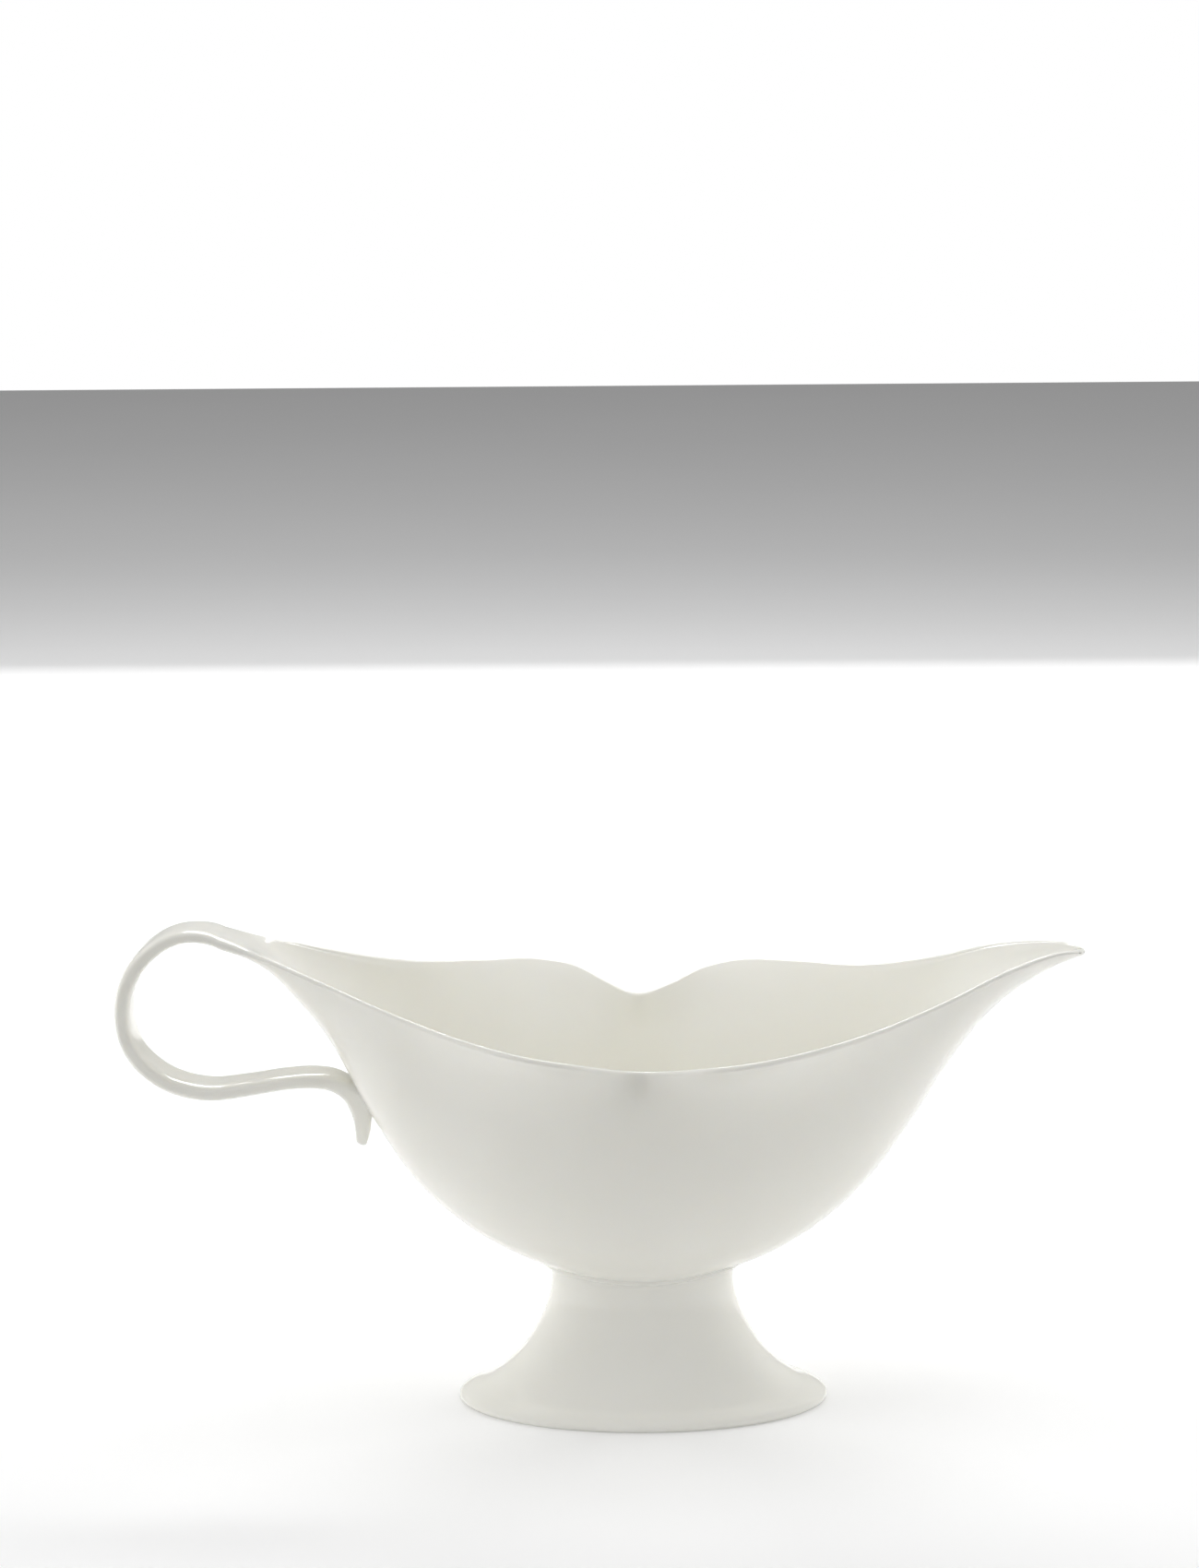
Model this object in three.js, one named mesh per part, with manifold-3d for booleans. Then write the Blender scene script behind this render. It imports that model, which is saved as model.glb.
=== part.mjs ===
// Footed gravy boat in white porcelain: a boat-shaped bowl with a double-lobed rim and a drawn spout,
// a hollow oval pedestal foot, and a strap handle that loops back to the bowl and ends in a small spur.
// The three castings are stuck together with slip, which is modelled as thin joint layers.
//
// Millimetres. +X points to the spout, +Z up. Shapes are laid out with "along" measured from the
// foot's centre, and the whole group is moved at the end so that the origin is under its middle.
import * as THREE from 'three';
import { mergeVertices } from 'three/addons/utils/BufferGeometryUtils.js';
import Module from 'manifold-3d';

// ---- Driving sizes ----
const SPOUT_REACH = 113.6;        // foot centre to the tip of the spout
const NOSE_LENGTH = 1.7;          // rounded end of the spout
const JOINT_REACH = 106.5;        // foot centre back to the face where the handle is stuck on
const LOBE_HALF_WIDTH = 51.2;     // half width across the widest lobes of the rim
const BODY_HALF_WIDTH = 37.2;     // half width of the body under the flared lip
const PINCH_HEIGHT = 99.0;        // height of the rim at the pinch between the lobes
const SEAT_HEIGHT = 35.3;         // flat underside of the bowl, where the foot is stuck on
const FOOT_HALF_LENGTH = 48.2;    // half length of the oval foot at its widest
const FOOT_OVALNESS = 0.553;      // foot's width as a share of its length
const HANDLE_HALF_WIDTH = 6.5;    // half width of the handle's strap round the loop

// ---- Walls and joints ----
const BOWL_WALL = 2.5;
const LIP_THICKNESS = 1.6;
const LIP_ROUNDNESS = 0.9;        // height of the lip's rounded edge as a share of half its thickness
const TIP_THINNING = 0.45;        // how much thinner the wall gets at the tip of the spout
const TIP_THINNING_START = 96;    // along, where it starts to get thinner
const MOST_STRETCH = 1.7;         // most that a steep wall is thickened in its section
const FLOOR_THICKNESS = 3.2;      // bowl's floor above the seat
const FLOOR_SOFTNESS = 2;         // rounding between the floor and the inside's walls
const INNER_MIN = 0.3;            // least half width of the channel as it runs out in the spout
const INNER_DROP = 0.1;           // least that the inside stays under the rim
const FOOT_WALL = 3.0;
const FOOT_RING_WIDTH = 3.4;      // flat ring that the foot stands on
const FOOT_LEAST_HOLLOW = 0.6;    // the hollow's skin starts this far above the ring's flat
const SLIP_THICKNESS = 0.5;
const CLEARANCE = 0.3;            // gap at the curved joint between handle and body

// ---- Rim: [along, half width / LOBE_HALF_WIDTH, rise above the pinch] ----
const RIM = [
  [-JOINT_REACH, 0.160, 27.2],
  [-80, 0.332, 17.7],
  [-60, 0.553, 11.8],
  [-42, 0.810, 8.4],
  [-28, 0.955, 6.6],
  [-18, 0.951, 4.9],
  [-9, 0.824, 2.0],
  [-1, 0.728, 0.0],
  [7, 0.814, 1.2],
  [17, 0.963, 3.8],
  [26, 1.000, 5.3],
  [42, 0.869, 6.7],
  [58, 0.652, 8.6],
  [76, 0.443, 13.4],
  [94, 0.262, 19.6],
  [105, 0.135, 21.6],
  [SPOUT_REACH - 2, 0.057, 21.4],
  [SPOUT_REACH, 0.0, 20.8],
];

// ---- Keel, the lowest line of the outside: [along, height above the seat] ----
const KEEL = [
  [-JOINT_REACH, 86.3],
  [-99, 82.2],
  [-90, 75.2],
  [-80, 62.8],
  [-70, 43.1],
  [-60, 27.0],
  [-45, 12.5],
  [-32, 5.0],
  [-22, 0.9],
  [0, -3.0],
  [22, 1.0],
  [32, 4.7],
  [48, 14.8],
  [60, 26.8],
  [70, 41.5],
  [80, 58.0],
  [90, 70.2],
  [100, 77.5],
  [SPOUT_REACH, 83.4],
];

// ---- Body sections ----
const BODY_REACH_BACK = 110;      // where the body's width would run out behind
const BODY_TAPER = 1.9;           // power of the body's taper towards both ends
const SECTION_POWER_ENDS = 1.15;  // power that shapes a section's rise: 1 is an ellipse, less is fuller
const SECTION_POWER_DROP = 0.45;  // how much fuller the sections are amidships
const SECTION_SPREAD = 55;        // how far along the extra fullness reaches
const COLLAR_HEIGHT = 2.6;        // short collar cast under the bowl to give the foot a level seat
const LIP_START = 0.5;            // share of the height where the lip begins to flare
const LIP_POWER = 3.0;            // how late and sharply it flares
const PINCH_SPREAD = 40;          // how far along the body evens out the rim's pinch under the lip
const PINCH_SOFTNESS = 7;         // length over which the rim's width is averaged there
const WAIST_SOFTNESS = 0.4;       // rounding where the body's width runs out into the rim's
const LEAST_DEPTH = 1;            // least height between the keel and the rim
const STRAP_BLEND_START = -86;    // along, where the hull starts to turn into the handle's strap

// ---- Foot's outside: [half length / FOOT_HALF_LENGTH, height] ----
const FOOT_PROFILE = [
  [0.490, SEAT_HEIGHT - SLIP_THICKNESS],
  [0.498, 29.0],
  [0.531, 24.0],
  [0.581, 19.0],
  [0.645, 14.0],
  [0.724, 9.8],
  [0.793, 7.0],
  [0.871, 4.6],
  [0.950, 3.0],
  [0.990, 1.9],
  [1.000, 0.9],
  [0.988, 0.0],
];

// ---- Handle's middle line: [along, height, half width / HANDLE_HALF_WIDTH, thickness] ----
const HANDLE = [
  [-JOINT_REACH - SLIP_THICKNESS, 124.3, 1.215, 3.4],
  [-111.8, 125.8, 1.12, 3.4],
  [-117.5, 125.6, 1.06, 3.6],
  [-122.8, 123.3, 1.03, 3.9],
  [-128.0, 118.7, 1.0, 4.2],
  [-131.6, 112.4, 1.0, 4.3],
  [-132.9, 105.2, 1.0, 4.3],
  [-131.8, 98.0, 1.0, 4.3],
  [-127.9, 91.6, 1.0, 4.3],
  [-120.8, 86.5, 1.0, 4.3],
  [-111.5, 84.3, 0.97, 4.3],
  [-102, 85.2, 0.94, 4.2],
  [-92, 86.8, 0.91, 4.0],
  [-84, 87.2, 0.86, 4.2],
  [-78.6, 86.1, 0.77, 4.6],
  [-74.7, 83.1, 0.66, 5.0],
  [-72.6, 78.6, 0.54, 5.0],
  [-72.1, 74.0, 0.37, 4.2],
  [-72.5, 70.2, 0.2, 3.0],
];
const STRAP_SQUARENESS = 3.6;     // superellipse power of the strap's section
const RIM_ARC = 0.14;             // share of the strap's half turn that the rounded rim edge takes

const UPRIGHT_KNOTS = 1.5;        // how many knots the strap takes to turn square to its middle line
const SPUR_TIP = [[0.7, 0.8], [1.2, 0.45]]; // rounding of the spur: drop below the last knot, share of size
const CUT_FROM = -92;             // stretch of the body that the handle's root is cut back from
const CUT_TO = -55;

// ---- Mesh counts and steps ----
const STATIONS = 60;
const STATION_CROWDING = 1.25;    // stations lie closer together towards the spout
const SIDE_STEPS = 17;
const RIM_CROWDING = 1.6;         // points of a section lie closer together towards the rim
const EDGE_STEPS = 3;
const NOSE_STEPS = 3;
const SIDE_PROBE = 0.02;          // steps for measuring the hull's slopes
const ALONG_PROBE = 0.5;
const PATH_PROBE = 0.01;
const WELD = 1e-5;
const FOOT_STEPS = 48;
const STRAP_STEPS = 18;
const STRAP_PARTS = 3;

// Smooth curve through [position, value] points, with tangents weighted by the spacing.
function curve(positions, values) {
  const last = positions.length - 1;
  const slope = positions.map(() => 0);
  const chord = (i) => (values[i + 1] - values[i]) / (positions[i + 1] - positions[i]);
  for (let i = 1; i < last; i += 1) {
    const before = positions[i] - positions[i - 1];
    const after = positions[i + 1] - positions[i];
    slope[i] = (chord(i - 1) * after + chord(i) * before) / (before + after);
  }
  slope[0] = 2 * chord(0) - slope[1];
  slope[last] = 2 * chord(last - 1) - slope[last - 1];
  return (x) => {
    let i = 0;
    while (i < last - 1 && x > positions[i + 1]) i += 1;
    const span = positions[i + 1] - positions[i];
    const t = (x - positions[i]) / span;
    const t2 = t * t;
    const t3 = t2 * t;
    return (2 * t3 - 3 * t2 + 1) * values[i] + (t3 - 2 * t2 + t) * span * slope[i]
      + (3 * t2 - 2 * t3) * values[i + 1] + (t3 - t2) * span * slope[i + 1];
  };
}

function columnCurve(rows, column, scale, offset) {
  return curve(rows.map((row) => row[0]), rows.map((row) => row[column] * scale + offset));
}

const rimHalfWidth = columnCurve(RIM, 1, LOBE_HALF_WIDTH, 0);
const rimHeight = columnCurve(RIM, 2, 1, PINCH_HEIGHT);
const keelHeight = columnCurve(KEEL, 1, 1, SEAT_HEIGHT);

const clamp01 = (x) => Math.min(1, Math.max(0, x));
const smoothStep = (x) => clamp01(x) ** 2 * (3 - 2 * clamp01(x));
const signedPower = (x, power) => Math.sign(x) * Math.abs(x) ** power;
const smoothMax = (a, b, softness) => (a + b + Math.hypot(a - b, softness)) / 2;

// A curve averaged over a short length, with bell-shaped weights.
function averaged(curveAt, spread, along) {
  let sum = 0;
  let total = 0;
  for (let step = -4; step <= 4; step += 1) {
    const offset = step / 2;
    const weight = Math.exp(-(offset ** 2) / 2);
    sum += weight * curveAt(along + offset * spread);
    total += weight;
  }
  return sum / total;
}

// The rim's half width with the pinch evened out, as the wall under the lip follows it.
function waistHalfWidth(along) {
  const edge = rimHalfWidth(along);
  const soft = averaged(rimHalfWidth, PINCH_SOFTNESS, along);
  return edge + (soft - edge) * Math.exp(-((along / PINCH_SPREAD) ** 2));
}

function bodyHalfWidth(along) {
  const reach = along < 0 ? BODY_REACH_BACK : SPOUT_REACH;
  const width = BODY_HALF_WIDTH * (1 - clamp01(Math.abs(along / reach)) ** BODY_TAPER);
  return -smoothMax(-width, -waistHalfWidth(along), WAIST_SOFTNESS);
}

// Point on the bowl's outer surface. side runs from -1 (one rim) through 0 (keel) to 1 (other rim).
function hullPoint(along, side) {
  const turn = (1 - (1 - Math.abs(side)) ** RIM_CROWDING) * Math.PI / 2;
  const power = SECTION_POWER_ENDS - SECTION_POWER_DROP * Math.exp(-((along / SECTION_SPREAD) ** 2));
  const top = rimHeight(along);
  const bottom = Math.min(keelHeight(along), top - LEAST_DEPTH);
  const body = bodyHalfWidth(along);
  const rise = 1 - Math.max(0, Math.cos(turn)) ** power;
  const flare = clamp01((rise - LIP_START) / (1 - LIP_START)) ** LIP_POWER;
  const waist = waistHalfWidth(along);
  const edge = waist + (rimHalfWidth(along) - waist) * flare;
  const across = body * Math.sin(turn) + (edge - body) * flare;
  return { y: Math.sign(side) * across, z: bottom + (top - bottom) * rise, rise };
}

// The same point with the outward direction in its section, and how much a wall must be stretched
// in the section to keep its true thickness where the hull slopes along its length.
function hullFrame(along, side) {
  const point = hullPoint(along, side);
  const a = hullPoint(along, Math.max(-1, side - SIDE_PROBE));
  const b = hullPoint(along, Math.min(1, side + SIDE_PROBE));
  const ahead = hullPoint(Math.min(SPOUT_REACH, along + ALONG_PROBE), side);
  const behind = hullPoint(along - ALONG_PROBE, side);
  const tangentLength = Math.hypot(b.y - a.y, b.z - a.z) || 1;
  const out = { y: (b.z - a.z) / tangentLength, z: -(b.y - a.y) / tangentLength };
  const lengthwise = (ahead.y - behind.y) * out.y + (ahead.z - behind.z) * out.z;
  return { point, out, stretch: Math.min(MOST_STRETCH, Math.hypot(1, lengthwise)) };
}

// Section of the handle's strap as a superellipse; turn 0 is its +Y edge, a quarter turn its top.
function strapPoint(turn, halfWidth, thickness) {
  return {
    y: halfWidth * signedPower(Math.cos(turn), 2 / STRAP_SQUARENESS),
    z: (thickness / 2) * signedPower(Math.sin(turn), 2 / STRAP_SQUARENESS),
  };
}

// Share of the wall's full thickness, less towards the tip of the spout.
function wallShare(along) {
  const towardsTip = (along - TIP_THINNING_START) / (SPOUT_REACH - TIP_THINNING_START);
  return 1 - TIP_THINNING * smoothStep(towardsTip);
}

// Point on the wall's outer or inner skin. The lip is centred on the rim line.
function skinPoint(along, side, inner) {
  const { point, out, stretch } = hullFrame(along, side);
  const lip = point.rise ** 4;
  const wall = (BOWL_WALL + (LIP_THICKNESS - BOWL_WALL) * lip) * stretch * wallShare(along);
  const shift = (lip / 2 - (inner ? 1 : 0)) * wall;
  let y = point.y + out.y * shift;
  let z = point.z + out.z * shift;
  if (inner) {
    const least = INNER_MIN * side;
    const top = rimHeight(along) - INNER_DROP * (1 - lip);
    y = side < 0 ? Math.min(y, least) : Math.max(y, least);
    z = Math.min(smoothMax(z, SEAT_HEIGHT + FLOOR_THICKNESS, FLOOR_SOFTNESS), top);
  }
  return { y, z: Math.max(z, SEAT_HEIGHT) };
}

// Point on the lip's rounded edge, from the outer skin (step 0) over the rim to the inner skin.
function edgePoint(along, sign, step) {
  const { point, out, stretch } = hullFrame(along, sign);
  const radius = (LIP_THICKNESS / 2) * stretch * wallShare(along);
  const turn = (step / (EDGE_STEPS + 1)) * Math.PI;
  const up = (Math.sin(turn) - 1) * radius * LIP_ROUNDNESS;
  return {
    y: point.y + out.y * radius * Math.cos(turn) - sign * out.z * up,
    z: point.z + out.z * radius * Math.cos(turn) + sign * out.y * up,
  };
}

// Every point of a wall section, with the turn round the strap's section that it goes over to.
function wallLoop(along) {
  const quarter = Math.PI / 2;
  const flat = quarter * (1 - RIM_ARC);
  const loop = [];
  for (let i = 1 - SIDE_STEPS; i < SIDE_STEPS; i += 1) {
    const side = i / SIDE_STEPS;
    loop.push([skinPoint(along, side, false), -quarter + side * flat]);
  }
  for (let i = 0; i <= EDGE_STEPS + 1; i += 1) {
    const arc = (i / (EDGE_STEPS + 1) * 2 - 1) * RIM_ARC * quarter;
    loop.push([edgePoint(along, 1, i), arc]);
  }
  for (let i = SIDE_STEPS - 1; i > -SIDE_STEPS; i -= 1) {
    const side = i / SIDE_STEPS;
    loop.push([skinPoint(along, side, true), quarter - side * flat]);
  }
  for (let i = EDGE_STEPS + 1; i >= 0; i -= 1) {
    const arc = (i / (EDGE_STEPS + 1) * 2 - 1) * RIM_ARC * quarter;
    loop.push([edgePoint(along, -1, i), Math.PI - arc]);
  }
  return loop;
}

// Closed section of the bowl's wall, going over into the strap's section towards the handle.
function bowlSection(along) {
  const blend = smoothStep((STRAP_BLEND_START - along) / (STRAP_BLEND_START + JOINT_REACH));
  const [, middle, width, thickness] = HANDLE[0];
  return wallLoop(along).map(([hull, turn]) => {
    const strap = strapPoint(turn, width * HANDLE_HALF_WIDTH, thickness);
    return new THREE.Vector3(
      along,
      hull.y + (strap.y - hull.y) * blend,
      hull.z + (middle + strap.z - hull.z) * blend,
    );
  });
}

function stationAlong(index) {
  const length = JOINT_REACH + SPOUT_REACH - NOSE_LENGTH;
  return -JOINT_REACH + length * (1 - (1 - index / STATIONS) ** STATION_CROWDING);
}

// Smaller and smaller copies of the last section that round off the spout's tip.
function noseRings(section) {
  const middle = new THREE.Vector3();
  for (const point of section) middle.addScaledVector(point, 1 / section.length);
  const rings = [];
  for (let i = 1; i <= NOSE_STEPS; i += 1) {
    const turn = (i / (NOSE_STEPS + 1)) * Math.PI / 2;
    const ahead = new THREE.Vector3(NOSE_LENGTH * Math.sin(turn), 0, 0);
    rings.push(section.map((point) => point.clone().lerp(middle, 1 - Math.cos(turn)).add(ahead)));
  }
  return rings;
}

// Closed body through equal-length rings. Without caps, the last ring joins back to the first.
// A tip point, if given, stands in for the middle of the last ring's cap.
function ringBody(rings, capped, tip) {
  const size = rings[0].length;
  const points = rings.flat();
  const faces = [];
  const bands = capped ? rings.length - 1 : rings.length;
  for (let i = 0; i < bands; i += 1) {
    const next = (i + 1) % rings.length;
    for (let j = 0; j < size; j += 1) {
      const k = (j + 1) % size;
      const [a, b, c, d] = [i * size + j, i * size + k, next * size + k, next * size + j];
      faces.push(a, b, c, a, c, d);
    }
  }
  if (capped) {
    const middle = (ring) => ring.reduce((sum, p) => sum.add(p), new THREE.Vector3()).divideScalar(size);
    points.push(middle(rings[0]), tip || middle(rings[rings.length - 1]));
    const first = points.length - 2;
    const lastRing = (rings.length - 1) * size;
    for (let j = 0; j < size; j += 1) {
      const k = (j + 1) % size;
      faces.push(first, k, j, first + 1, lastRing + j, lastRing + k);
    }
  }
  const geometry = new THREE.BufferGeometry();
  const numbers = points.flatMap((p) => [p.x, p.y, p.z]);
  geometry.setAttribute('position', new THREE.Float32BufferAttribute(numbers, 3));
  geometry.setIndex(faces);
  return facesOut(geometry);
}

// Turns the faces over if the body's signed volume is negative.
function facesOut(geometry) {
  const position = geometry.getAttribute('position');
  const index = geometry.getIndex();
  const [a, b, c] = [new THREE.Vector3(), new THREE.Vector3(), new THREE.Vector3()];
  let volume = 0;
  for (let i = 0; i < index.count; i += 3) {
    a.fromBufferAttribute(position, index.getX(i));
    b.fromBufferAttribute(position, index.getX(i + 1));
    c.fromBufferAttribute(position, index.getX(i + 2));
    volume += a.dot(b.cross(c));
  }
  if (volume < 0) {
    for (let i = 0; i < index.count; i += 3) {
      const second = index.getX(i + 1);
      index.setX(i + 1, index.getX(i + 2));
      index.setX(i + 2, second);
    }
  }
  return geometry;
}

const wasm = await Module();
wasm.setup();

function toSolid(source) {
  const bare = source.clone();
  bare.deleteAttribute('normal');
  bare.deleteAttribute('uv');
  const welded = mergeVertices(bare, WELD);
  return new wasm.Manifold(new wasm.Mesh({
    numProp: 3,
    vertProperties: new Float32Array(welded.getAttribute('position').array),
    triVerts: new Uint32Array(welded.getIndex().array),
  }));
}

function fromSolid(solid) {
  const mesh = solid.getMesh();
  const geometry = new THREE.BufferGeometry();
  geometry.setAttribute('position', new THREE.Float32BufferAttribute(mesh.vertProperties, 3));
  geometry.setIndex(new THREE.Uint32BufferAttribute(mesh.triVerts, 1));
  return geometry;
}

function bowlGeometry() {
  const rings = [];
  for (let i = 0; i <= STATIONS; i += 1) rings.push(bowlSection(stationAlong(i)));
  const last = rings[STATIONS];
  rings.push(...noseRings(last));
  const tip = new THREE.Vector3();
  for (const point of last) tip.addScaledVector(point, 1 / last.length);
  tip.x = SPOUT_REACH;
  const neck = FOOT_PROFILE[0][0] * FOOT_HALF_LENGTH;
  const collar = ringBody([
    footOval(neck, 0, SEAT_HEIGHT),
    footOval(neck, 0, SEAT_HEIGHT + COLLAR_HEIGHT),
  ], true);
  return fromSolid(toSolid(ringBody(rings, true, tip)).add(toSolid(collar)));
}

// The body's outside grown by the clearance, over the stretch where the handle comes back to it.
function bodyCutter() {
  const rings = [];
  for (let i = 0; i <= STATIONS; i += 1) {
    const along = stationAlong(i);
    if (along < CUT_FROM || along > CUT_TO) continue;
    const ring = [];
    for (let j = -SIDE_STEPS; j <= SIDE_STEPS; j += 1) {
      const { point, out, stretch } = hullFrame(along, j / SIDE_STEPS);
      const grow = CLEARANCE * stretch;
      ring.push(new THREE.Vector3(along, point.y + out.y * grow, point.z + out.z * grow));
    }
    rings.push(ring);
  }
  return ringBody(rings, true);
}

function footOval(halfLength, inset, height) {
  const ring = [];
  for (let j = 0; j < FOOT_STEPS; j += 1) {
    const turn = (j / FOOT_STEPS) * 2 * Math.PI;
    ring.push(new THREE.Vector3(
      (halfLength - inset) * Math.cos(turn),
      (halfLength * FOOT_OVALNESS - inset) * Math.sin(turn),
      height,
    ));
  }
  return ring;
}

// Hollow trumpet, open at the top under the bowl's seat and open underneath.
function footGeometry() {
  const outer = FOOT_PROFILE.map(([share, height]) => [share * FOOT_HALF_LENGTH, height]);
  const rings = outer.map(([halfLength, height]) => footOval(halfLength, 0, height));
  const last = outer.length - 1;
  rings.push(footOval(outer[last][0], FOOT_RING_WIDTH, 0));
  for (let i = last - 1; i > 0; i -= 1) {
    const [across, down] = [outer[i + 1][0] - outer[i - 1][0], outer[i - 1][1] - outer[i + 1][1]];
    const slope = Math.hypot(across, down);
    const height = outer[i][1] - FOOT_WALL * across / slope;
    if (height > FOOT_LEAST_HOLLOW) rings.push(footOval(outer[i][0], FOOT_WALL * down / slope, height));
  }
  rings.push(footOval(outer[0][0], FOOT_WALL, outer[0][1]));
  return ringBody(rings, false);
}

function footSlipGeometry() {
  const halfLength = FOOT_PROFILE[0][0] * FOOT_HALF_LENGTH;
  const low = SEAT_HEIGHT - SLIP_THICKNESS;
  return ringBody([
    footOval(halfLength, 0, low),
    footOval(halfLength, 0, SEAT_HEIGHT),
    footOval(halfLength, FOOT_WALL, SEAT_HEIGHT),
    footOval(halfLength, FOOT_WALL, low),
  ], false);
}

function strapRing(along, height, halfWidth, thickness, normal) {
  const ring = [];
  for (let j = 0; j < STRAP_STEPS; j += 1) {
    const { y, z } = strapPoint((j / STRAP_STEPS) * 2 * Math.PI, halfWidth, thickness);
    ring.push(new THREE.Vector3(along + normal.x * z, y, height + normal.z * z));
  }
  return ring;
}

function handleSlipGeometry() {
  const [along, height, width, thickness] = HANDLE[0];
  const up = new THREE.Vector3(0, 0, 1);
  return ringBody([along, along + SLIP_THICKNESS].map(
    (x) => strapRing(x, height, width * HANDLE_HALF_WIDTH, thickness, up),
  ), true);
}

// Strap swept along its middle line, with a flat end at the joint and a rounded spur tip,
// then cut back from the body it is stuck to.
function handleGeometry() {
  const knots = HANDLE.map((row, i) => i);
  const column = (i) => curve(knots, HANDLE.map((row) => row[i]));
  const [alongAt, heightAt, widthAt, thicknessAt] = [column(0), column(1), column(2), column(3)];
  const count = (HANDLE.length - 1) * STRAP_PARTS;
  const rings = [];
  for (let i = 0; i <= count; i += 1) {
    const t = i / STRAP_PARTS;
    const after = Math.min(t + PATH_PROBE, knots.length - 1);
    const before = Math.max(t - PATH_PROBE, 0);
    const dx = alongAt(after) - alongAt(before);
    const dz = heightAt(after) - heightAt(before);
    const normal = new THREE.Vector3(dz, 0, -dx).normalize();
    const upright = 1 - smoothStep(t / UPRIGHT_KNOTS);
    normal.lerp(new THREE.Vector3(0, 0, 1), upright).normalize();
    const halfWidth = widthAt(t) * HANDLE_HALF_WIDTH;
    rings.push(strapRing(alongAt(t), heightAt(t), halfWidth, thicknessAt(t), normal));
  }
  const [tipAlong, tipHeight, tipWidth, tipThickness] = HANDLE[HANDLE.length - 1];
  const across = new THREE.Vector3(-1, 0, 0);
  for (const [drop, share] of SPUR_TIP) {
    const halfWidth = tipWidth * HANDLE_HALF_WIDTH * share;
    rings.push(strapRing(tipAlong, tipHeight - drop, halfWidth, tipThickness * share, across));
  }
  return fromSolid(toSolid(ringBody(rings, true)).subtract(toSolid(bodyCutter())));
}

// ---- Finishes: glazed castings, and bare slip between them ----
const GLAZED = { color: 0xe9e7de, roughness: 0.18, metalness: 0 };
const BARE = { color: 0xe4e1d6, roughness: 0.55, metalness: 0 };

function namedMesh(name, geometry, finish) {
  geometry.computeVertexNormals();
  const mesh = new THREE.Mesh(geometry, new THREE.MeshStandardMaterial(finish));
  mesh.name = name;
  return mesh;
}

const group = new THREE.Group();
group.name = 'gravy_boat';
group.add(namedMesh('bowl', bowlGeometry(), GLAZED));
group.add(namedMesh('pedestal_foot', footGeometry(), GLAZED));
group.add(namedMesh('handle', handleGeometry(), GLAZED));
group.add(namedMesh('foot_slip_joint', footSlipGeometry(), BARE));
group.add(namedMesh('handle_slip_joint', handleSlipGeometry(), BARE));

// Centres the part over the origin along its length; it already stands on z = 0 and is even across.
const box = new THREE.Box3().setFromObject(group);
const shift = -(box.min.x + box.max.x) / 2;
for (const mesh of group.children) mesh.geometry.translate(shift, 0, 0);

export default group;
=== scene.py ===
"""Footed gravy boat in glazed white porcelain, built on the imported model's frame.

Metres, +X to the spout, +Z up. Shapes are worked out in millimetres with "along" measured from the
foot's centre, and moved into the frame by to_frame().
"""
import math

import bpy
import numpy as np
from mathutils import Matrix, Vector
from mathutils.bvhtree import BVHTree


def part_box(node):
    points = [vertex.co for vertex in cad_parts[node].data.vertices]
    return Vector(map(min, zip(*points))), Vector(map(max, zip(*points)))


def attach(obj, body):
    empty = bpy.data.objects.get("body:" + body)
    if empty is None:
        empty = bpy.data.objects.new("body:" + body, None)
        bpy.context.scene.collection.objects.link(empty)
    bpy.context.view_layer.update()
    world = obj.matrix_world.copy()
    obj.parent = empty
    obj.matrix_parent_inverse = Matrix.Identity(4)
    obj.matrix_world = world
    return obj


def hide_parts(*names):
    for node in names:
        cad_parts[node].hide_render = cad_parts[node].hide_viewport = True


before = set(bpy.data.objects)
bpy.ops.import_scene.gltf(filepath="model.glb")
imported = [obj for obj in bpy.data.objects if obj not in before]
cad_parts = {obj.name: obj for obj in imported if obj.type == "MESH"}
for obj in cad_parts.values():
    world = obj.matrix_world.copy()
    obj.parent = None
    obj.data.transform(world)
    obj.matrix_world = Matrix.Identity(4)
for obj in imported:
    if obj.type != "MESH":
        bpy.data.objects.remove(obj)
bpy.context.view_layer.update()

# ---- Driving sizes, in millimetres, taken from the frame ----
MM = 0.001
bowl_low, bowl_high = (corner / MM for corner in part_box("bowl"))
foot_low, foot_high = (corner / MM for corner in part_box("pedestal_foot"))
slip_low, slip_high = (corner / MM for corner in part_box("handle_slip_joint"))
FOOT_CENTRE = (foot_low.x + foot_high.x) / 2
FOOT_HALF_LENGTH = (foot_high.x - foot_low.x) / 2
FOOT_OVALNESS = (foot_high.y - foot_low.y) / (foot_high.x - foot_low.x)
FOOT_TOP = foot_high.z
SEAT_HEIGHT = bowl_low.z
JOINT_REACH = FOOT_CENTRE - bowl_low.x
SLIP_THICKNESS = slip_high.x - slip_low.x

# ---- The shape's own sizes ----
SPOUT_REACH = 113.6           # foot's centre to the tip of the spout
NOSE_LENGTH = 1.7             # rounded end of the spout
LOBE_HALF_WIDTH = 51.2        # half width across the widest lobes of the rim
BODY_HALF_WIDTH = 37.2        # half width of the body under the flared lip
PINCH_HEIGHT = 99.0           # height of the rim at the pinch between the lobes
HANDLE_HALF_WIDTH = 6.5       # half width of the strap round the loop
BOWL_WALL = 2.5               # thickness of the bowl's side
LIP_THICKNESS = 1.6           # what the side thins to at its rounded edge
LIP_ONSET = 4                 # how late the side thins and centres itself under the edge
LIP_SINK = 0.1                # how far the inside stays below the edge where it isn't the lip yet
TIP_THINNING = 0.45           # how much thinner the wall gets at the tip of the spout
TIP_THINNING_START = 96.0     # where that thinning begins
FLOOR_THICKNESS = 3.2         # thickness of the bowl's flat floor over the foot
FLOOR_SOFTNESS = 2.0          # rounding round that floor
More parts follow.
